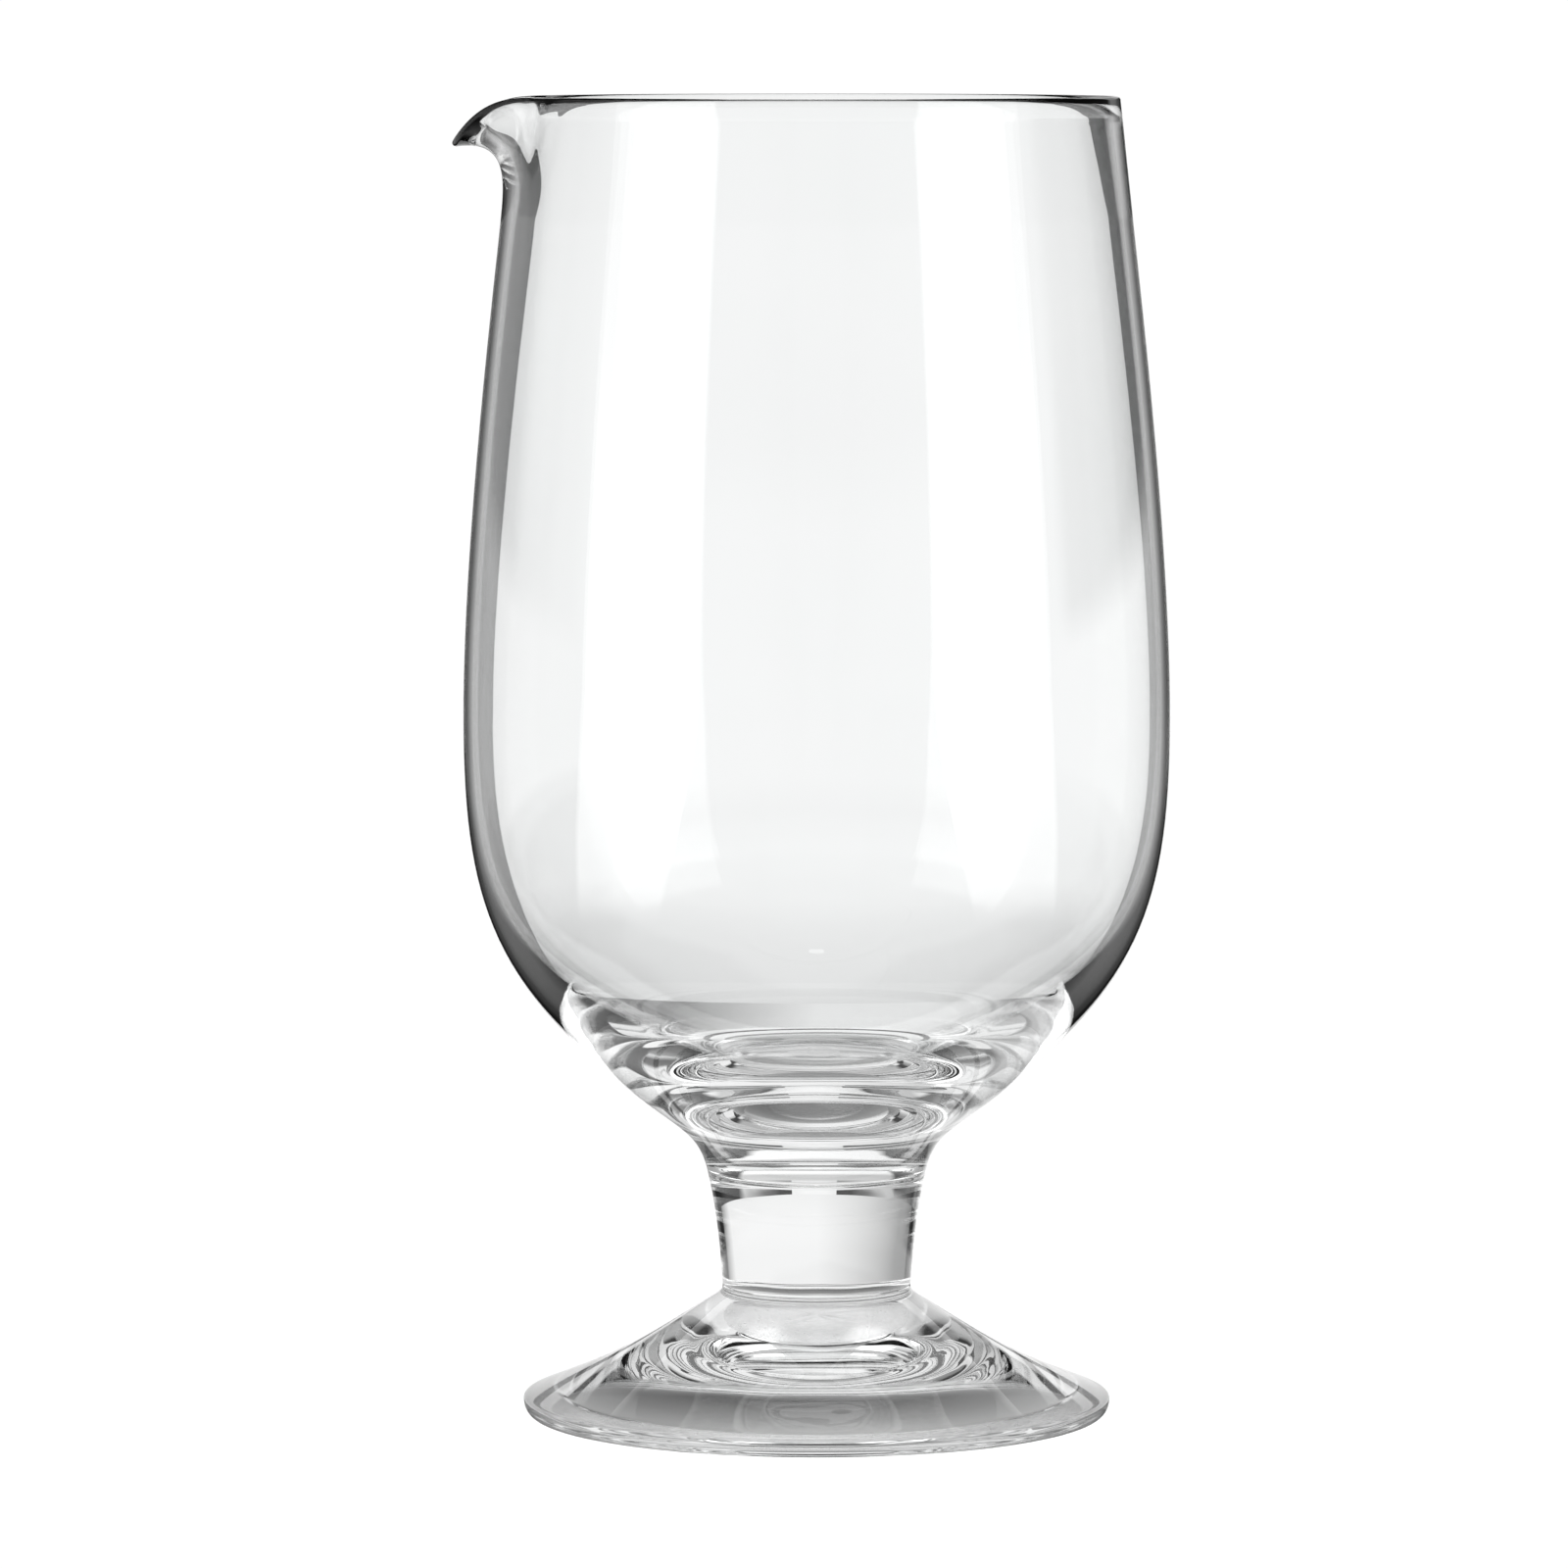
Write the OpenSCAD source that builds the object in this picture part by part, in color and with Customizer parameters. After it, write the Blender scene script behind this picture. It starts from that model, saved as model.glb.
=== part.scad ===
// Footed mixing glass: a blown bowl with a pulled pour lip, on a short solid
// stem and a conical foot. Millimetres, +Z up. The origin is on the glass's
// axis at the plane it stands on, and the pour lip points along -X.

/* [Bowl] */
// Height of the rim above the table
rim_z = 175; // [168:1:182]
// Outer radius at the rim
rim_r = 40; // [38:0.1:42]
// Outer radius at the belly, the bowl's widest place
belly_r = 46.8; // [45:0.1:48]
// Height of the belly
belly_z = 93; // [90:0.5:97]
// Outer radius where the bowl's side turns into its underside
shoulder_r = 33; // [31:0.5:35]
// Height of that turn
shoulder_z = 50.8; // [49:0.2:53]
// Wall thickness at the rim
rim_wall = 1.4; // [1.1:0.1:2.4]
// Wall thickness at the foot of the lip's band
neck_wall = 1.25; // [1:0.05:2.2]
// Wall thickness at the belly
belly_wall = 1.05; // [0.9:0.05:2.6]
// Height of the cavity's floor, over the thick base
floor_z = 42.5; // [41:0.5:44.5]

/* [Pour lip] */
// How far the lip's tip is pulled out from the rim
lip_reach = 8.8; // [4:0.1:10]
// How far the tip droops below the rim
lip_drop = 5.9; // [3:0.1:7]
// Half of the angle of rim that the lip takes up
lip_half_angle = 24; // [20:1:40]
// Height of the band of wall that the lip is pulled from
lip_band = 16; // [12:1:20]
// The wall's thickness at the lip's tip, as a share of its thickness elsewhere
lip_bead = 1.2; // [0.8:0.05:1.4]

/* [Stem] */
// Height of the joint between stem and bowl
stem_top_z = 32; // [31:0.5:33]
// Radius of that joint
stem_top_r = 14.4; // [13.5:0.1:15.5]
// Height of the joint between stem and foot
stem_bottom_z = 17.2; // [16.5:0.1:18.5]
// Radius of that joint
stem_bottom_r = 12.5; // [12:0.1:13]

/* [Foot] */
// Outer radius of the foot
foot_r = 39; // [37:0.5:41]
// Height of the foot's edge at its widest
foot_edge_z = 2.2; // [1.8:0.1:2.6]
// Radius of the crease where the cone meets the fillet under the stem
crease_r = 14.9; // [14:0.1:15.5]
// Height of that crease
crease_z = 14.9; // [14:0.1:15.5]
// Outer radius of the flat ring that the foot rests on
ring_outer_r = 37.3; // [36:0.1:37.5]
// Inner radius of that ring
ring_inner_r = 33.8; // [32:0.1:35]
// Height of the hollow under the foot
hollow_h = 7; // [4.5:0.1:7.4]
// Radius of the ground pontil mark under the foot
pontil_r = 9.5; // [7:0.5:12]
// Depth of the pontil mark
pontil_depth = 0.6; // [0.2:0.1:1]

/* [Hidden] */
$fn = 120;
glass = [0.90, 0.95, 0.96];

// The bowl is a mesh of this many columns round its axis.
columns = 60;
// Columns crowd towards the lip by this many degrees.
crowding = 25;
lip_azimuth = 180;
band_z = rim_z - lip_band;
// The lip's reach and droop grow as these powers of the height in its band.
reach_power = 3;
droop_power = 3.4;
// The droop keeps closer to the lip's middle than the reach does.
droop_focus = 2.6;

// Steepness, as radius gained per height, of the outline at its joints.
stem_top_lean = 0.2;
shoulder_lean = 0.99;
rim_lean = -0.105;
waist_top_lean = 0.25;
waist_bottom_lean = 0.05;
cavity_turn_lean = 0.94;
crease_lean = -1.52;
brow_lean = -2.5;

// Heights that the curves' handles span, from each joint of the outline.
base_handle = 7.7;
underside_handle = 13;
side_handle = 11.4;
belly_handle_down = 20;
belly_handle_up = 23;
neck_handle = 8;
cavity_side_handle_down = 16.5;
cavity_turn_handle_up = 8.6;
cavity_turn_handle_down = 6.2;
waist_top_handle = 4;
waist_bottom_handle = 4.8;
fillet_handle = 1;
crease_handle_up = 0.7;
crease_handle_down = 6;
brow_handle_up = 2.4;
brow_handle_down = 1.95;
edge_handle_up = 0.6;
edge_handle_down = 1.3;
heel_handle = 1;

// The cavity turns in under its side at this place from the shoulder. Its floor
// is flat as far as floor_r, and leaves the flat over floor_handle.
cavity_turn_dr = 2.7;
cavity_turn_dz = 7.1;
floor_r = 3;
floor_handle = 14.3;

// The foot's cone turns over into its rounded edge at the brow.
brow_r = foot_r - 5.3;
brow_z = foot_edge_z + 2.5;
// The hollow's slope leaves the ring over this much radius, at this share of
// the hollow's height.
hollow_slope = 10;
hollow_rise = 0.75;
// The pontil mark's side and its flat middle.
pontil_side = 3;
pontil_flat_r = 2;

// Rounding of the rim: small outside, long inside, as fire polishing leaves it.
rim_outer_round = 0.3 * rim_wall;
rim_inner_round = 0.65 * rim_wall;
rim_inner_drop = 2.7;

// A cubic curve through four control points, without its last point.
function cubic(p, t) =
    pow(1 - t, 3) * p[0] + 3 * pow(1 - t, 2) * t * p[1]
    + 3 * (1 - t) * t * t * p[2] + pow(t, 3) * p[3];
function curve(p, steps) = [for (i = [0 : steps - 1]) cubic(p, i / steps)];
// A straight line from p to q, without its last point.
function line(p, q, steps) = [for (i = [0 : steps - 1]) p + (q - p) * i / steps];
// A point that leaves the radius and height p, along lean, by the height dz.
function along(p, lean, dz) = p + dz * [lean, 1];

stem_top = [stem_top_r, stem_top_z];
stem_bottom = [stem_bottom_r, stem_bottom_z];
shoulder = [shoulder_r, shoulder_z];
belly = [belly_r, belly_z];
belly_inside = [belly_r - belly_wall, belly_z];
cavity_turn = shoulder + [cavity_turn_dr, cavity_turn_dz];
rim_outside = [rim_r, rim_z - rim_outer_round];
rim_inside = [rim_r - rim_wall, rim_z - rim_inner_drop];
neck_outside = [rim_r - rim_lean * lip_band, band_z];
neck_inside = neck_outside - [neck_wall, 0];

// The bowl's outside, from the stem up to the rim.
function bowl_outside() = concat(
    curve([
        stem_top,
        along(stem_top, stem_top_lean, base_handle),
        along(shoulder, shoulder_lean, -underside_handle),
        shoulder
    ], 7),
    curve([shoulder, along(shoulder, shoulder_lean, side_handle), belly - [0, belly_handle_down], belly], 6),
    curve([
        belly,
        belly + [0, belly_handle_up],
        along(neck_outside, rim_lean, -neck_handle),
        neck_outside
    ], 7),
    line(neck_outside, rim_outside, 6)
);
// The rim, over its top from outside to inside.
function bowl_rim() = [
    for (a = [0 : 45 : 45])
        [rim_r - rim_outer_round * (1 - cos(a)), rim_z - rim_outer_round * (1 - sin(a))],
    for (a = [0 : 30 : 60])
        [
            rim_r - rim_wall + rim_inner_round * (1 - sin(a)),
            rim_z - rim_inner_drop * (1 - cos(a))
        ]
];
// The cavity, from the rim down to the edge of its flat floor.
function bowl_inside() = concat(
    line(rim_inside, neck_inside, 6),
    curve([
        neck_inside,
        along(neck_inside, rim_lean, -neck_handle),
        belly_inside + [0, belly_handle_up],
        belly_inside
    ], 7),
    curve([
        belly_inside,
        belly_inside - [0, cavity_side_handle_down],
        along(cavity_turn, cavity_turn_lean, cavity_turn_handle_up),
        cavity_turn
    ], 6),
    curve([
        cavity_turn,
        along(cavity_turn, cavity_turn_lean, -cavity_turn_handle_down),
        [floor_r + floor_handle, floor_z],
        [floor_r, floor_z]
    ], 8),
    [[floor_r, floor_z]]
);

// How much of the lip a direction round the rim carries: 1 at its middle.
function lip_weight(azimuth) =
    let (off = abs(azimuth - lip_azimuth))
    off < lip_half_angle ? pow(cos(90 * off / lip_half_angle), 2) : 0;

// Curls a point of the rim's band outwards: the wall's middle line is pulled
// out and down, and the wall's thickness turns with it.
function curled(p, weight) =
    let (
        s = max(0, (p[1] - band_z) / lip_band),
        middle = rim_r - rim_wall / 2 + rim_lean * (p[1] - rim_z),
        reach = weight * lip_reach,
        drop = pow(weight, droop_focus) * lip_drop,
        out_rate = reach * reach_power * pow(s, reach_power - 1) / lip_band,
        down_rate = drop * droop_power * pow(s, droop_power - 1) / lip_band,
        turn = atan2(out_rate, 1 - down_rate),
        offset = (p[0] - middle) * (1 + (lip_bead - 1) * weight * s)
    )
    s == 0 || weight == 0 ? p
    : [
        middle + reach * pow(s, reach_power) + offset * cos(turn),
        p[1] - drop * pow(s, droop_power) - offset * sin(turn)
    ];

// Direction of a column of the bowl's mesh, in degrees.
function column_azimuth(j) =
    let (even = 360 * j / columns)
    even + crowding * sin(even);

module bowl() {
    outline = concat(bowl_outside(), bowl_rim(), bowl_inside());
    rows = len(outline);
    points = [
        for (j = [0 : columns - 1])
            let (azimuth = column_azimuth(j), weight = lip_weight(azimuth))
            for (p = outline)
                let (q = curled(p, weight))
                [q[0] * cos(azimuth), q[0] * sin(azimuth), q[1]]
    ];
    sides = [
        for (j = [0 : columns - 1])
            for (i = [0 : rows - 2])
                let (a = j * rows + i, b = ((j + 1) % columns) * rows + i)
                each [[a, a + 1, b], [b, a + 1, b + 1]]
    ];
    base = [for (j = [0 : columns - 1]) j * rows];
    cavity_floor = [for (j = [columns - 1 : -1 : 0]) j * rows + rows - 1];
    color(glass, 0.5)
        polyhedron(points, concat(sides, [base, cavity_floor]), convexity = 6);
}

module stem() {
    side = curve([
        stem_top,
        along(stem_top, waist_top_lean, -waist_top_handle),
        along(stem_bottom, waist_bottom_lean, waist_bottom_handle),
        stem_bottom
    ], 12);
    color(glass, 0.7)
        rotate_extrude()
            polygon(concat([[0, stem_top_z]], side, [stem_bottom, [0, stem_bottom_z]]));
}

// The foot's outside, from the stem down to the ring that it rests on.
function foot_outside() =
    let (
        crease = [crease_r, crease_z],
        brow = [brow_r, brow_z],
        edge = [foot_r, foot_edge_z],
        ring = [ring_outer_r, 0]
    )
    concat(
        curve([
            stem_bottom,
            stem_bottom - [0, fillet_handle],
            along(crease, crease_lean, crease_handle_up),
            crease
        ], 6),
        curve([
            crease,
            along(crease, crease_lean, -crease_handle_down),
            along(brow, brow_lean, brow_handle_up),
            brow
        ], 12),
        curve([brow, along(brow, brow_lean, -brow_handle_down), edge + [0, edge_handle_up], edge], 8),
        curve([edge, edge - [0, edge_handle_down], ring + [heel_handle, 0], ring], 6),
        [ring]
    );
// The hollow underneath, from the ring to the middle of the pontil mark.
function foot_hollow() =
    let (
        ring = [ring_inner_r, 0],
        pontil = [pontil_r, hollow_h],
        mark_z = hollow_h + pontil_depth
    )
    concat(
        curve([
        ring,
        [ring_inner_r - hollow_slope, hollow_rise * hollow_h],
        [2 * pontil_r, hollow_h],
        pontil
    ], 12),
        curve([pontil, [pontil_r - pontil_side, mark_z], [pontil_flat_r, mark_z], [0, mark_z]], 4),
        [[0, mark_z]]
    );

module foot() {
    color(glass, 0.6)
        rotate_extrude()
            polygon(concat([[0, stem_bottom_z]], foot_outside(), foot_hollow()));
}

bowl();
stem();
foot();
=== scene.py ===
"""Footed mixing glass: three fused gathers of clear glass on a white table."""

import math

import bpy
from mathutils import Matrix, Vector, noise


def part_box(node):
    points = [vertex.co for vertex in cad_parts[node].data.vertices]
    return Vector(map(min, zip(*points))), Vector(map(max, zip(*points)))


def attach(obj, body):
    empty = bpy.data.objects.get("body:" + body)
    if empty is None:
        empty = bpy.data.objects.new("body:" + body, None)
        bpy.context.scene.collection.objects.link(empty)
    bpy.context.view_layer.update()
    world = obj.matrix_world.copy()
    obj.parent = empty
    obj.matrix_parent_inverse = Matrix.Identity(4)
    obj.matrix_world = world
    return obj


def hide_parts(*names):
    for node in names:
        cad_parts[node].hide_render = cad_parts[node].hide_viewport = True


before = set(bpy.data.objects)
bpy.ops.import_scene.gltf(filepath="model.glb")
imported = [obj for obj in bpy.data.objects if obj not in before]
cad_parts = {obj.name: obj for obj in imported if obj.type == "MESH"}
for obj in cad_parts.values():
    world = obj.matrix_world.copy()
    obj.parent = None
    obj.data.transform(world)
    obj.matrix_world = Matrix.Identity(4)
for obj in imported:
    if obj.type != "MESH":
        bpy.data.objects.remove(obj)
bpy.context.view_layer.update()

MM = 0.001


# ---------------------------------------------------------------- sizes

def corners(node):
    """Lowest and highest corner of a CAD node, in millimetres."""
    low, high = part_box(node)
    return Vector(low) / MM, Vector(high) / MM


bowl_low, bowl_high = corners("bowl")
stem_low, stem_high = corners("stem")
foot_low, foot_high = corners("foot")

RIM_Z = bowl_high.z
BELLY_R = bowl_high.x
STEM_TOP = (stem_high.x, stem_high.z)
STEM_BOTTOM_Z = stem_low.z
FOOT_R = foot_high.x
TABLE_Z = foot_low.z

# The rest of the outline, in millimetres, as radius and height.
RIM_R = 40.0
RIM_WALL = 1.4
NECK_WALL = 1.25
BELLY_Z = 93.0
BELLY_WALL = 1.05
SHOULDER = (33.0, 50.8)
CAVITY_FLOOR_Z = 42.5
CAVITY_TURN = (35.7, 57.9)
LIP_REACH = 8.8
LIP_DROP = 5.9
LIP_HALF_ANGLE = math.radians(24.0)
LIP_BAND = 16.0
LIP_BEAD = 1.2
REACH_POWER = 3.0
DROOP_POWER = 3.4
DROOP_FOCUS = 2.6
STEM_BOTTOM_R = 12.5
CREASE = (14.9, 14.9)
BROW = (FOOT_R - 5.3, 4.7)
FOOT_EDGE = (FOOT_R, 2.2)
RING_OUTER = (37.3, 0.0)
RING_INNER = (33.8, 0.0)
HOLLOW_H = 7.0
HOLLOW_SLOPE = 10.0
PONTIL_R = 9.5
PONTIL_DEPTH = 0.6

# Rounding of the rim: small outside, long inside, as fire polishing leaves it.
RIM_OUTER_ROUND = 0.3 * RIM_WALL
RIM_INNER_ROUND = 0.65 * RIM_WALL
RIM_INNER_DROP = 2.7

# Radius gained per height where the outline's curves join.
STEM_TOP_LEAN = 0.2
SHOULDER_LEAN = 0.99
CAVITY_TURN_LEAN = 0.94
RIM_LEAN = -0.105
WAIST_TOP_LEAN = 0.25
WAIST_BOTTOM_LEAN = 0.05
CREASE_LEAN = -1.52
BROW_LEAN = -2.5

# Lengths of the curves' handles, as the height or the radius that each spans from its end of the curve.
STEM_TOP_HANDLE = 7.7
SHOULDER_HANDLE_DOWN = 13.0
SHOULDER_HANDLE_UP = 11.4
BELLY_HANDLE_DOWN = 20.0
BELLY_HANDLE_UP = 23.0
NECK_HANDLE = 8.0
CAVITY_SIDE_HANDLE = 16.5
CAVITY_TURN_HANDLE_UP = 8.6
CAVITY_TURN_HANDLE_DOWN = 6.2
FLOOR_HANDLE = 14.3
WAIST_BOTTOM_HANDLE = 4.8
WAIST_TOP_HANDLE = 4.0
FILLET_TOP_HANDLE = 1.0
FILLET_BOTTOM_HANDLE = 0.7
CONE_TOP_HANDLE = 6.0
CONE_BOTTOM_HANDLE = 2.4
BROW_HANDLE = 1.95
EDGE_HANDLE_UP = 0.6
EDGE_HANDLE_DOWN = 1.3
RING_HANDLE = 1.0
# The hollow's first handle rises by this share of the hollow's height.
HOLLOW_RISE = 0.75

# Radius of the flat middle of the cavity's floor, of the pontil mark's flat middle, and of the mark's side.
FLOOR_R = 3.0
PONTIL_FLAT_R = 2.0
PONTIL_SIDE = 3.0

# The middle of a cap is a small polygon of this radius.
CAP_R = 0.25


# ---------------------------------------------------------------- outlines

def along(p, lean, dz):
    return (p[0] + dz * lean, p[1] + dz)


def shifted(p, dr, dz):
    return (p[0] + dr, p[1] + dz)


def curve(p, steps):
    """Points of a cubic curve through four control points, without its last point."""
    points = []
    for i in range(steps):
        t = i / steps
        w = ((1 - t) ** 3, 3 * (1 - t) ** 2 * t, 3 * (1 - t) * t * t, t ** 3)
        points.append((sum(a * q[0] for a, q in zip(w, p)), sum(a * q[1] for a, q in zip(w, p))))
    return points


def line(p, q, steps):
    return [(p[0] + (q[0] - p[0]) * i / steps, p[1] + (q[1] - p[1]) * i / steps) for i in range(steps)]


BAND_Z = RIM_Z - LIP_BAND
NECK_OUT = (RIM_R - RIM_LEAN * LIP_BAND, BAND_Z)
NECK_IN = (NECK_OUT[0] - NECK_WALL, BAND_Z)
BELLY_OUT = (BELLY_R, BELLY_Z)
BELLY_IN = (BELLY_R - BELLY_WALL, BELLY_Z)


def rim_outline():
    """The rim, over its top from outside to inside."""
    points = []
    for i in range(5):
        a = math.radians(90) * i / 4
        r = RIM_R - RIM_OUTER_ROUND * (1 - math.cos(a))
        points.append((r, RIM_Z - RIM_OUTER_ROUND * (1 - math.sin(a))))
    inner_r = RIM_R - RIM_WALL
    for i in range(12):
        a = math.radians(90) * i / 12
        r = inner_r + RIM_INNER_ROUND * (1 - math.sin(a))
        points.append((r, RIM_Z - RIM_INNER_DROP * (1 - math.cos(a))))
    return points


def bowl_outline():
    """The bowl from the joint with the stem, up the outside, and down the cavity to its floor."""
    rim_out = (RIM_R, RIM_Z - RIM_OUTER_ROUND)
    rim_in = (RIM_R - RIM_WALL, RIM_Z - RIM_INNER_DROP)
    floor_edge = (FLOOR_R, CAVITY_FLOOR_Z)
    floor_middle = (CAP_R, CAVITY_FLOOR_Z)
    stem_up = along(STEM_TOP, STEM_TOP_LEAN, STEM_TOP_HANDLE)
    shoulder_down = along(SHOULDER, SHOULDER_LEAN, -SHOULDER_HANDLE_DOWN)
    shoulder_up = along(SHOULDER, SHOULDER_LEAN, SHOULDER_HANDLE_UP)
    belly_up = shifted(BELLY_OUT, 0, BELLY_HANDLE_UP)
    outside = (
        curve([STEM_TOP, stem_up, shoulder_down, SHOULDER], 26)
        + curve([SHOULDER, shoulder_up, shifted(BELLY_OUT, 0, -BELLY_HANDLE_DOWN), BELLY_OUT], 24)
        + curve([BELLY_OUT, belly_up, along(NECK_OUT, RIM_LEAN, -NECK_HANDLE), NECK_OUT], 28)
        + line(NECK_OUT, rim_out, 22)
    )
    neck_down = along(NECK_IN, RIM_LEAN, -NECK_HANDLE)
    side_down = shifted(BELLY_IN, 0, -CAVITY_SIDE_HANDLE)
    turn_up = along(CAVITY_TURN, CAVITY_TURN_LEAN, CAVITY_TURN_HANDLE_UP)
    turn_down = along(CAVITY_TURN, CAVITY_TURN_LEAN, -CAVITY_TURN_HANDLE_DOWN)
    inside = (
        line(rim_in, NECK_IN, 20)
        + curve([NECK_IN, neck_down, shifted(BELLY_IN, 0, BELLY_HANDLE_UP), BELLY_IN], 28)
        + curve([BELLY_IN, side_down, turn_up, CAVITY_TURN], 32)
        + curve([CAVITY_TURN, turn_down, shifted(floor_edge, FLOOR_HANDLE, 0), floor_edge], 32)
        + line(floor_edge, floor_middle, 8)
        + [floor_middle]
    )
    return outside + rim_outline() + inside


def stem_outline():
    bottom = (STEM_BOTTOM_R, STEM_BOTTOM_Z)
    low_handle = along(bottom, WAIST_BOTTOM_LEAN, WAIST_BOTTOM_HANDLE)
    high_handle = along(STEM_TOP, WAIST_TOP_LEAN, -WAIST_TOP_HANDLE)
    return curve([bottom, low_handle, high_handle, STEM_TOP], 40) + [STEM_TOP]


def foot_outline():
    """The foot from the middle of the pontil mark, round the edge, up to the joint with the stem."""
    joint = (STEM_BOTTOM_R, STEM_BOTTOM_Z)
    pontil = (PONTIL_R, HOLLOW_H)
    mark_z = HOLLOW_H + PONTIL_DEPTH
    fillet_end = along(CREASE, CREASE_LEAN, FILLET_BOTTOM_HANDLE)
    cone_start = along(CREASE, CREASE_LEAN, -CONE_TOP_HANDLE)
    cone_end = along(BROW, BROW_LEAN, CONE_BOTTOM_HANDLE)
    edge_down = shifted(FOOT_EDGE, 0, -EDGE_HANDLE_DOWN)
    brow_down = along(BROW, BROW_LEAN, -BROW_HANDLE)
    hollow_start = shifted(RING_INNER, -HOLLOW_SLOPE, HOLLOW_RISE * HOLLOW_H)
    outline = (
        curve([joint, shifted(joint, 0, -FILLET_TOP_HANDLE), fillet_end, CREASE], 12)
        + curve([CREASE, cone_start, cone_end, BROW], 36)
        + curve([BROW, brow_down, shifted(FOOT_EDGE, 0, EDGE_HANDLE_UP), FOOT_EDGE], 16)
        + curve([FOOT_EDGE, edge_down, shifted(RING_OUTER, RING_HANDLE, 0), RING_OUTER], 12)
        + line(RING_OUTER, RING_INNER, 6)
        + curve([RING_INNER, hollow_start, (2 * PONTIL_R, HOLLOW_H), pontil], 36)
        + curve([pontil, (PONTIL_R - PONTIL_SIDE, mark_z), (PONTIL_FLAT_R, mark_z), (CAP_R, mark_z)], 12)
        + [(CAP_R, mark_z)]
    )
    return outline[::-1]


# ---------------------------------------------------------------- meshes

COLUMNS = 240
# Columns crowd towards the lip, at azimuth 180, by this angle.
CROWDING = math.radians(25)


def lathe(name, outline, place, crowding=0.0):
    """A closed solid turned from an outline. place turns radius, height and azimuth into x, y and z."""
    rows = len(outline)
    verts = []
    for j in range(COLUMNS):
        even = 2 * math.pi * j / COLUMNS
        azimuth = even + crowding * math.sin(even)
        for r, z in outline:
            verts.append(Vector(place(r, z, azimuth)) * MM)
    sides = []
    for j in range(COLUMNS):
        for i in range(rows - 1):
            a, b = j * rows + i, (j + 1) % COLUMNS * rows + i
            sides.append((a, b, b + 1, a + 1))
    first_cap = [j * rows for j in range(COLUMNS - 1, -1, -1)]
    last_cap = [j * rows + rows - 1 for j in range(COLUMNS)]
    mesh = bpy.data.meshes.new(name)
    mesh.from_pydata(verts, [], sides + [first_cap, last_cap])
    for polygon in mesh.polygons[:len(sides)]:
        polygon.use_smooth = True
    obj = bpy.data.objects.new(name, mesh)
    bpy.context.scene.collection.objects.link(obj)
    return obj


# The tooled glass of the foot and stem is uneven by up to this much, in millimetres. The ripples are
# noise: about so many go round the axis, and one to this length along the outline.
RIPPLE = 0.04
RIPPLES_ROUND = 2.4
RIPPLE_LENGTH = 5.5
# Over this height they fade up the stem, to this share of their depth on the bowl.
FADE_FROM_Z = 20.0
FADE_H = 12.0
BOWL_SHARE = 0.12
# They start this far above the ground ring, and reach their full depth over this height.
FLAT_H = 0.5
RISE_H = 2.0
# The heights take their noise from here, so that they differ from the radii.
HEIGHT_NOISE = Vector((31.7, 0, 0))


def rippled(r, z, azimuth):
    """Moves a point of the glass by its unevenness. The ground ring that it stands on stays flat."""
    share = 1 - (1 - BOWL_SHARE) * min(1.0, max(0.0, (z - FADE_FROM_Z) / FADE_H))
    amount = RIPPLE * share * min(1.0, max(0.0, (z - FLAT_H) / RISE_H))
    x, y = RIPPLES_ROUND * math.cos(azimuth), RIPPLES_ROUND * math.sin(azimuth)
    place = Vector((x, y, (r + z) / RIPPLE_LENGTH))
    return r + amount * noise.noise(place), z + amount * noise.noise(place + HEIGHT_NOISE)


def lip_weight(azimuth):
    off = abs(azimuth - math.pi)
    return math.cos(math.pi / 2 * off / LIP_HALF_ANGLE) ** 2 if off < LIP_HALF_ANGLE else 0.0


def curled(r, z, weight):
    """Curls a point of the rim's band out into the lip."""
    s = max(0.0, (z - BAND_Z) / LIP_BAND)
    if s == 0 or weight == 0:
        return r, z
    middle = RIM_R - RIM_WALL / 2 + RIM_LEAN * (z - RIM_Z)
    reach, drop = weight * LIP_REACH, weight ** DROOP_FOCUS * LIP_DROP
    out_rate = reach * REACH_POWER * s ** (REACH_POWER - 1) / LIP_BAND
    down_rate = drop * DROOP_POWER * s ** (DROOP_POWER - 1) / LIP_BAND
    turn = math.atan2(out_rate, 1 - down_rate)
    offset = (r - middle) * (1 + (LIP_BEAD - 1) * weight * s)
    return (
        middle + reach * s ** REACH_POWER + offset * math.cos(turn),
        z - drop * s ** DROOP_POWER - offset * math.sin(turn),
    )


def place_bowl(r, z, azimuth):
    r, z = curled(*rippled(r, z, azimuth), lip_weight(azimuth))
    return r * math.cos(azimuth), r * math.sin(azimuth), z


def place_round(r, z, azimuth):
    if r > CAP_R:
        r, z = rippled(r, z, azimuth)
    return r * math.cos(azimuth), r * math.sin(azimuth), z


# ---------------------------------------------------------------- materials

def principled(name):
    material = bpy.data.materials.new(name)
    material.use_nodes = True
    return material, material.node_tree, material.node_tree.nodes["Principled BSDF"]


def math_node(tree, operation, first, second):
    """A math node on two inputs, which are numbers or sockets."""
    node = tree.nodes.new("ShaderNodeMath")
    node.operation = operation
    for socket, value in zip(node.inputs, (first, second)):
        if isinstance(value, (int, float)):
            socket.default_value = value
        else:
            tree.links.new(value, socket)
    return node.outputs[0]


def speckle(tree, place, scale, low, high):
    """Noise of so many grains per metre, from low to high."""
    grain = tree.nodes.new("ShaderNodeTexNoise")
    grain.inputs["Scale"].default_value = scale
    spread = tree.nodes.new("ShaderNodeMapRange")
    spread.inputs["From Min"].default_value = 0.3
    spread.inputs["From Max"].default_value = 0.7
    spread.inputs["To Min"].default_value = low
    spread.inputs["To Max"].default_value = high
    tree.links.new(place, grain.inputs["Vector"])
    tree.links.new(grain.outputs[0], spread.inputs["Value"])
    return spread.outputs[0]


# The parts that are ground lie up to this high on the ring, and this far above the pontil mark's top.
GROUND_RING_H = 0.06
PONTIL_MARGIN = 0.4
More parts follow.
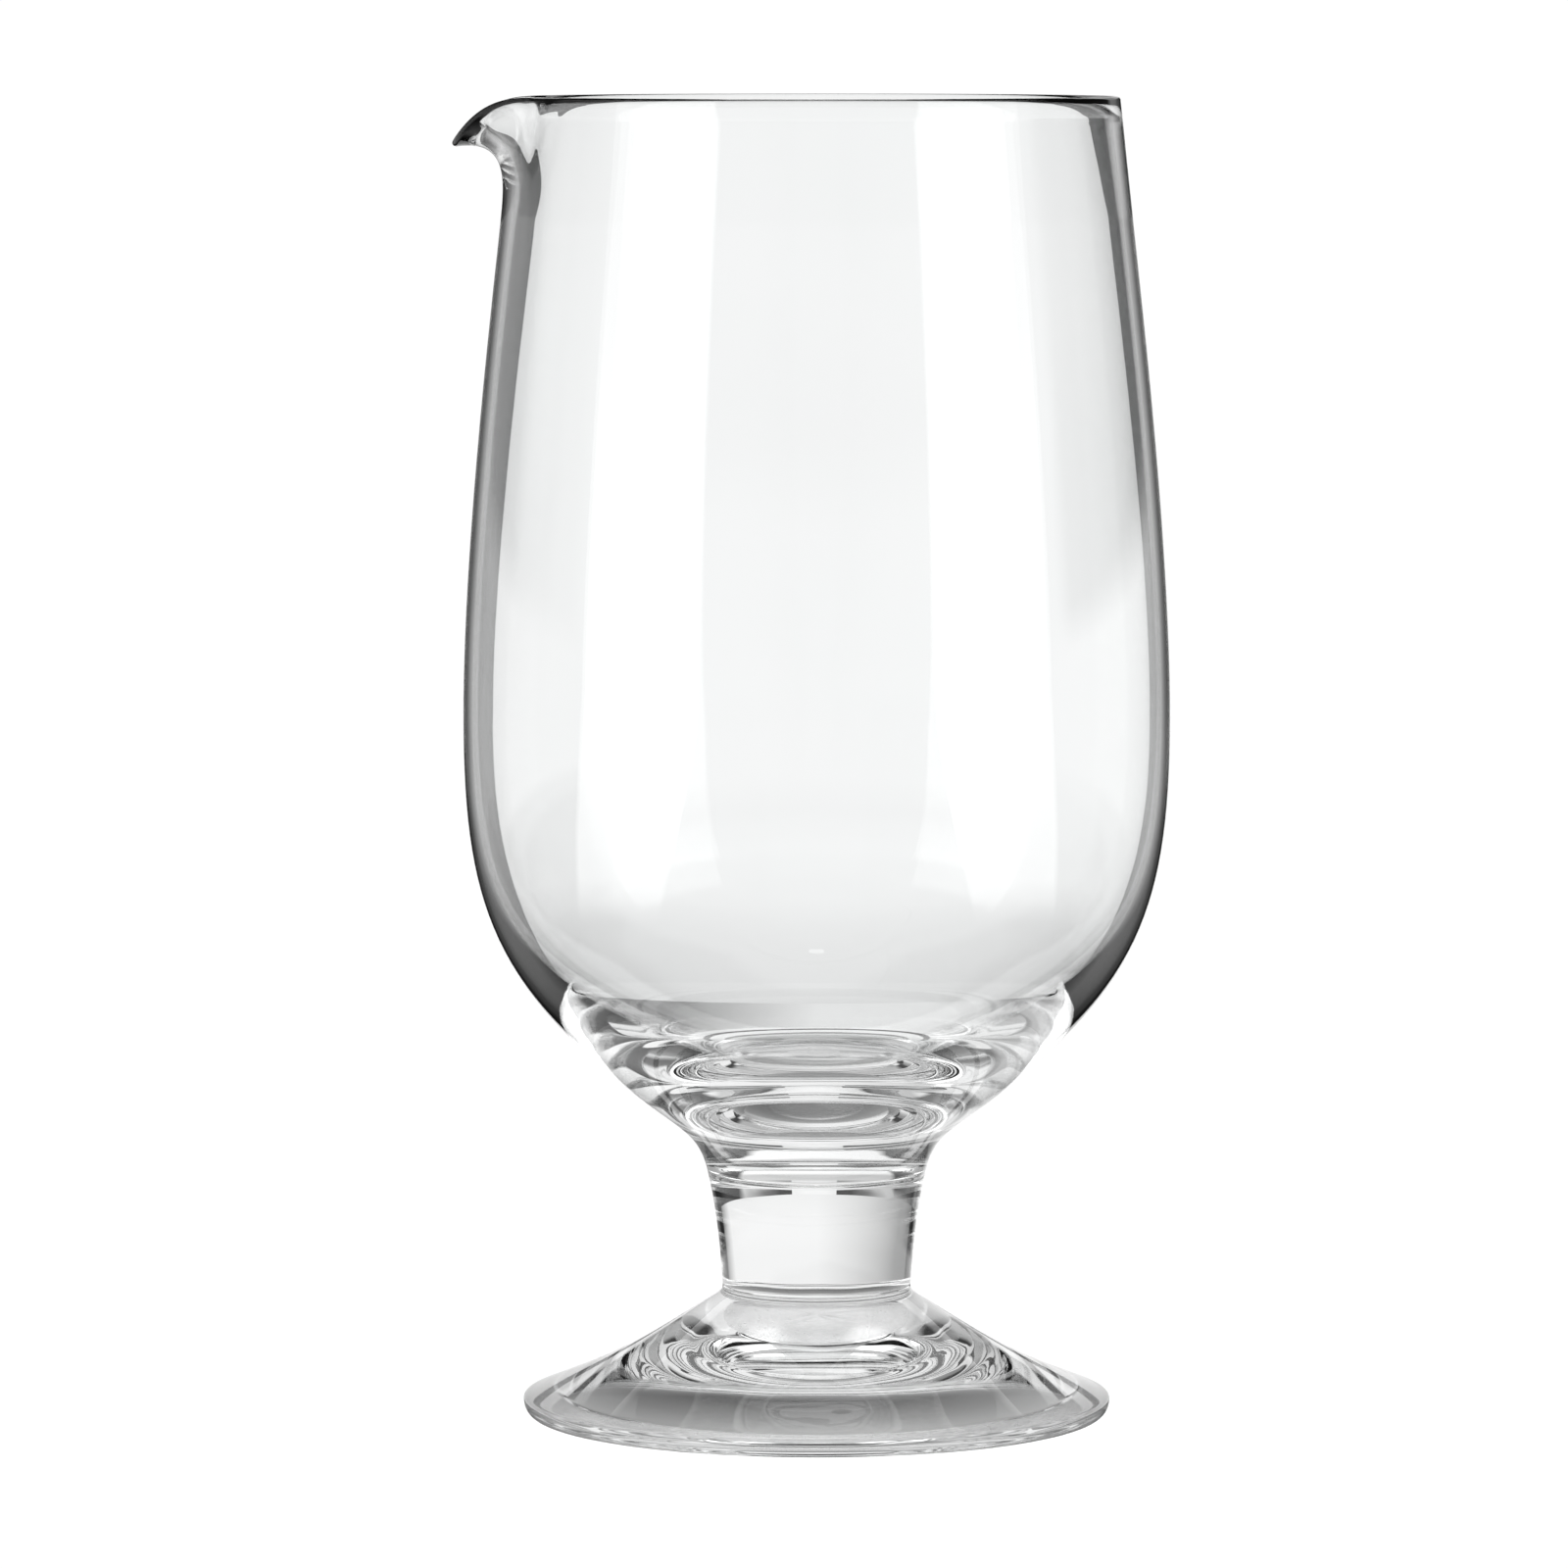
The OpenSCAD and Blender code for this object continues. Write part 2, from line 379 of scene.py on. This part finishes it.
# Roughness of the ground parts, from and to, and of the polished glass's haze at most.
GROUND_ROUGHNESS = (0.2, 0.28)
HAZE = 0.006
# Grains per metre of the haze, the tint and the ground finish.
HAZE_GRAINS = 60.0
TINT_GRAINS = 35.0
GROUND_GRAINS = 2500.0
GREENEST_TINT = (0.982, 0.990, 0.989, 1)
CLEAREST_TINT = (0.992, 0.996, 0.996, 1)
GLASS_IOR = 1.52


def ground_places(tree, place):
    """1 on the ring that the foot stands on and in the pontil mark, which are ground, and 0 elsewhere."""
    apart = tree.nodes.new("ShaderNodeSeparateXYZ")
    tree.links.new(place, apart.inputs[0])
    x, y, z = apart.outputs
    square = math_node(tree, "ADD", math_node(tree, "MULTIPLY", x, x), math_node(tree, "MULTIPLY", y, y))
    on_ring = math_node(tree, "LESS_THAN", z, GROUND_RING_H * MM)
    under = math_node(tree, "LESS_THAN", z, (HOLLOW_H + PONTIL_DEPTH + PONTIL_MARGIN) * MM)
    near_axis = math_node(tree, "LESS_THAN", square, (PONTIL_R * MM) ** 2)
    return math_node(tree, "MAXIMUM", on_ring, math_node(tree, "MULTIPLY", under, near_axis))


def clear_glass():
    """Polished glass with a trace of haze and tint, ground matt where it was cut and where it stands."""
    material, tree, shader = principled("clear_glass")
    place = tree.nodes.new("ShaderNodeTexCoord").outputs["Object"]
    haze = speckle(tree, place, HAZE_GRAINS, 0.0, HAZE)
    grinding = speckle(tree, place, GROUND_GRAINS, *GROUND_ROUGHNESS)
    ground = math_node(tree, "MULTIPLY", ground_places(tree, place), grinding)
    tree.links.new(math_node(tree, "MAXIMUM", haze, ground), shader.inputs["Roughness"])
    tint = tree.nodes.new("ShaderNodeMix")
    tint.data_type = "RGBA"
    tint.inputs["A"].default_value = GREENEST_TINT
    tint.inputs["B"].default_value = CLEAREST_TINT
    tree.links.new(speckle(tree, place, TINT_GRAINS, 0.0, 1.0), tint.inputs["Factor"])
    tree.links.new(tint.outputs["Result"], shader.inputs["Base Color"])
    shader.inputs["IOR"].default_value = GLASS_IOR
    shader.inputs["Transmission Weight"].default_value = 1.0
    return material


def fused_joint():
    """The face where two gathers are fused: the glass runs on through it, so it doesn't show."""
    material, _, shader = principled("fused_joint")
    shader.inputs["Alpha"].default_value = 0.0
    return material


GLASS = clear_glass()
JOINT = fused_joint()


def finish_piece(obj, node, fused_caps):
    """Dresses a piece in glass and puts it in the frame. Its two caps are its last two faces."""
    obj.data.materials.append(GLASS)
    obj.data.materials.append(JOINT)
    for cap in fused_caps:
        obj.data.polygons[cap].material_index = 1
    obj.name = node + "_glass"
    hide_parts(node)
    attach(obj, "root")


FIRST_CAP, LAST_CAP = -2, -1

finish_piece(lathe("bowl", bowl_outline(), place_bowl, CROWDING), "bowl", [FIRST_CAP])
finish_piece(lathe("stem", stem_outline(), place_round), "stem", [FIRST_CAP, LAST_CAP])
finish_piece(lathe("foot", foot_outline(), place_round), "foot", [LAST_CAP])


# ---------------------------------------------------------------- camera

EYE_DISTANCE = 1.178
EYE_ABOVE_RIM = 0.0111
AIM = Vector((-0.00434, 0, 0.0841))


def add_camera():
    data = bpy.data.cameras.new("camera")
    data.sensor_width = 36.0
    data.lens = 204.8
    made = bpy.data.objects.new("camera", data)
    bpy.context.scene.collection.objects.link(made)
    made.location = (0, -EYE_DISTANCE, RIM_Z * MM + EYE_ABOVE_RIM)
    made.rotation_euler = (AIM - made.location).to_track_quat("-Z", "Y").to_euler()
    bpy.context.scene.camera = made


add_camera()


# ---------------------------------------------------------------- studio

# What the glass sees round it, as painted light and shade on a sheet that only the glass sees: brightness by
# angle in degrees from straight behind it, left to right.
# Low down it is painted as a white backdrop behind, with dark bands of painted shade beside it for flags and
# bright bands of painted light at the sides for softboxes.
SURROUND = (
    (-180, 0.9), (-142, 0.95), (-141.9, 2.1), (-99, 2.1), (-98.9, 0.85), (-62, 0.85), (-42, 0.8),
    (-31, 0.55), (-25, 0.36), (-20, 0.15), (-15, 0.08), (-12, 0.02), (-6.5, 0.02), (-6.4, 0.85),
    (-3, 0.93), (3, 0.96), (8.2, 0.88), (8.3, 0.02), (13, 0.02), (15, 0.08), (20, 0.15), (25, 0.36),
    (31, 0.55), (42, 0.9), (62, 1.0), (98.9, 1.0), (99, 2.1), (141.9, 2.1), (142, 0.95), (180, 0.9),
)
# Higher up the painted backdrop is wider, and dark painted panels stand at both sides.
PANELS = (
    (-180, 0.9), (-142, 0.95), (-141.9, 2.1), (-99, 2.1), (-98.9, 0.9), (-92, 0.6), (-66, 0.45),
    (-60, 0.1), (-36, 0.06), (-32, 0.8), (0, 0.97), (32, 1.0), (36, 0.04), (88, 0.04), (95, 0.9),
    (98.9, 0.9), (99, 2.1), (141.9, 2.1), (142, 0.95), (180, 0.9),
)
# Just above the table the surround and the panels run into each other.
MIDDLE = tuple(stop for stop in PANELS if stop[0] < -40)
MIDDLE += tuple(stop for stop in SURROUND if -32 < stop[0] < 32)
MIDDLE += tuple(stop for stop in PANELS if stop[0] > 34)
# Higher still, a band of painted shade behind and beside the glass, and above it painted light all round.
UNLIT = ((-180, 0.9), (-75, 0.9), (-65, 0.03), (65, 0.03), (75, 0.9), (180, 0.9))
LIT = ((-180, 1.0), (180, 1.0))
# The table close to the glass, with painted shade in front and at the sides.
NEAR = tuple(stop for stop in SURROUND if -62 < stop[0] < 62)
NEAR = ((-180, 0.12), (-85, 0.12), (-62, 0.5)) + NEAR + ((62, 0.5), (85, 0.12), (180, 0.12))
# On the table, as painted light and shade: distance from the glass in millimetres, the brightness round it
# there, and the share of it.
FLOOR = (
    (0, NEAR, 0.2), (60, NEAR, 0.25), (68, NEAR, 0.7), (110, NEAR, 0.85), (150, SURROUND, 0.9),
    (230, SURROUND, 0.92), (350, SURROUND, 0.96), (600, SURROUND, 1.0), (1000, SURROUND, 1.0),
)
# Above it, as painted light and shade: angle, the brightness round the glass at that angle, and the share of
# it.
TENT = (
    (0, SURROUND, 1.0), (1.5, SURROUND, 1.02), (3, MIDDLE, 1.0), (8, MIDDLE, 1.0), (11, PANELS, 0.7),
    (17, PANELS, 0.65), (22, PANELS, 1.1), (32, PANELS, 1.1), (35, UNLIT, 1.0), (68, UNLIT, 1.0),
    (74, LIT, 1.0), (89, LIT, 1.0),
)
TENT_R = 3000.0
# The surround's two halves are moved apart by this far on each side of the axis.
ASIDE = 45.0

# A low sheet close round the foot, which only the glass sees, painted with light and with a thin dark band of
# painted shade: brightness by angle, and by height.
SCREEN = (
    (-180, 0.5), (-75, 0.5), (-62, 0.03), (-46, 0.03), (-44, 0.24), (-30, 0.34), (-15, 0.64), (0, 0.94),
    (34, 0.95), (44, 0.4), (46, 0.03), (62, 0.03), (75, 0.5), (180, 0.5),
)
SCREEN_FOOT = ((-180, 0.8), (-60, 0.85), (0, 1.0), (60, 0.95), (180, 0.9))
SCREEN_LEVELS = (
    (0, SCREEN_FOOT, 1.0), (8, SCREEN_FOOT, 1.0), (8.5, SCREEN_FOOT, 0.05), (10.5, SCREEN_FOOT, 0.05),
    (11, SCREEN_FOOT, 1.0), (14, SCREEN_FOOT, 1.0), (15, SCREEN, 1.0), (28, SCREEN, 1.0),
    (34, SCREEN, 0.95),
)
SCREEN_R = 44.0

# Painted shade of the table, on a sheet just above it, that shows through the hollow under the foot.
SHADE = ((-180, 0.5), (-90, 0.35), (-40, 0.45), (40, 0.6), (90, 0.5), (180, 0.5))
SHADE_LEVELS = ((0, 0.28), (14, 0.36), (25, 0.65), (33, 1.0), (37, 1.4))


def glow():
    """Glows as brightly as the mesh's own glow attribute says: painted light and shade, though it is no lamp.
    """
    material = bpy.data.materials.new("glow")
    material.use_nodes = True
    tree = material.node_tree
    tree.nodes.clear()
    level = tree.nodes.new("ShaderNodeAttribute")
    level.attribute_name = "glow"
    emission = tree.nodes.new("ShaderNodeEmission")
    out = tree.nodes.new("ShaderNodeOutputMaterial")
    tree.links.new(level.outputs["Fac"], emission.inputs["Strength"])
    tree.links.new(emission.outputs[0], out.inputs["Surface"])
    return material


def stage(name, mesh, material):
    mesh.materials.append(material)
    obj = bpy.data.objects.new(name, mesh)
    bpy.context.scene.collection.objects.link(obj)
    return obj


def finely(stops, step):
    """The stops, with more between them, so that no gap is wider than step degrees."""
    fine = []
    for (a, va), (b, vb) in zip(stops, stops[1:]):
        n = max(1, math.ceil((b - a) / step))
        fine += [(a + (b - a) * k / n, va + (vb - va) * k / n) for k in range(n)]
    return fine + [stops[-1]]


def add_painted_reflection_sheet(name, verts, brightness, faces, material):
    """A glowing sheet of painted light and shade, which only the glass sees in its reflections and
    refractions.
    """
    mesh = bpy.data.meshes.new(name)
    mesh.from_pydata(verts, [], faces)
    mesh.attributes.new("glow", "FLOAT", "POINT").data.foreach_set("value", brightness)
    obj = stage(name, mesh, material)
    obj.visible_camera = False
    obj.visible_diffuse = False
    obj.visible_shadow = False


def at(stops, place):
    """Brightness at a place between stops."""
    for (a, va), (b, vb) in zip(stops, stops[1:]):
        if a <= place <= b:
            return va + (vb - va) * (place - a) / (b - a)
    return stops[-1][1]


def surround(name, levels, material, aside=0.0):
    """A sheet of painted light and shade round the glass that only the glass sees. levels are (radius,
    height, stops, share of them).
    """
    marks = sorted({angle for level in levels for angle, value in level[2]} | {0})
    marks = [angle for angle, value in finely([(angle, 0) for angle in marks], 6)]
    columns = [(angle, -aside) for angle in marks if angle <= 0]
    columns += [(angle, aside) for angle in marks if angle >= 0]
    verts, brightness, faces = [], [], []
    for angle, shift in columns:
        a = math.radians(angle)
        for r, z, stops, share in levels:
            verts.append(Vector((shift + r * math.sin(a), r * math.cos(a), z)) * MM)
            brightness.append(at(stops, angle) * share)
    rows = len(levels)
    for j in range(len(columns)):
        for i in range(rows - 1):
            a, b = j * rows + i, (j + 1) % len(columns) * rows + i
            faces.append((a, a + 1, b + 1, b))
    add_painted_reflection_sheet(name, verts, brightness, faces, material)


def tent_levels():
    """The surround's levels: out over the table, then up the tent."""
    levels = [(r, TABLE_Z - 0.05, stops, share) for r, stops, share in FLOOR]
    for (low, stops, share), (high, next_stops, next_share) in zip(TENT, TENT[1:] + TENT[-1:]):
        steps = max(1, math.ceil((high - low) / 6)) if stops == next_stops else 1
        for k in range(steps):
            a = math.radians(low + (high - low) * k / steps)
            part = share + (next_share - share) * k / steps
            levels.append((TENT_R * math.cos(a), TENT_R * math.sin(a), stops, part))
    return levels


def sky():
    made = bpy.data.worlds.new("studio")
    bpy.context.scene.world = made
    made.use_nodes = True
    tree = made.node_tree
    tree.nodes.clear()
    path = tree.nodes.new("ShaderNodeLightPath")
    mix = tree.nodes.new("ShaderNodeMixShader")
    out = tree.nodes.new("ShaderNodeOutputWorld")
    tree.links.new(path.outputs["Is Camera Ray"], mix.inputs[0])
    for slot, strength in ((1, 0.45), (2, 1.03)):
        light = tree.nodes.new("ShaderNodeBackground")
        light.inputs["Strength"].default_value = strength
        light.inputs["Color"].default_value = (1, 1, 1, 1)
        tree.links.new(light.outputs[0], mix.inputs[slot])
    tree.links.new(mix.outputs[0], out.inputs["Surface"])


def table():
    material, tree, shader = principled("white_table")
    shader.inputs["Base Color"].default_value = (0.9, 0.9, 0.9, 1)
    shader.inputs["Roughness"].default_value = 0.9
    shader.inputs["Specular IOR Level"].default_value = 0.0
    size = 12.0
    z = (TABLE_Z - 0.1) * MM
    mesh = bpy.data.meshes.new("table")
    corners_of_it = [(-size, -size, z), (size, -size, z), (size, size, z), (-size, size, z)]
    mesh.from_pydata(corners_of_it, [], [(0, 1, 2, 3)])
    obj = stage("table", mesh, material)
    obj.visible_glossy = False
    obj.visible_transmission = False


def overhead():
    """Even light on the table, which leaves only a faint shadow round the foot."""
    sun = bpy.data.lights.new("overhead", "SUN")
    sun.energy = 2.2
    sun.angle = math.radians(60)
    sun.use_shadow = False
    lamp = bpy.data.objects.new("overhead", sun)
    bpy.context.scene.collection.objects.link(lamp)


def studio():
    sky()
    table()
    overhead()
    material = glow()
    # Sheets of painted light and shade that only the glass shows, in place of a real tent, screen round the
    # foot and shaded table.
    surround("painted_reflection_tent", tent_levels(), material, ASIDE)
    surround("screen", [(SCREEN_R, z, stops, share) for z, stops, share in SCREEN_LEVELS], material)
    surround("shade", [(r, TABLE_Z - 0.02, SHADE, share) for r, share in SHADE_LEVELS], material)


studio()

scene = bpy.context.scene
scene.view_settings.view_transform = "Standard"
scene.cycles.max_bounces = 32
scene.cycles.transmission_bounces = 32
scene.cycles.glossy_bounces = 16
scene.cycles.transparent_max_bounces = 16
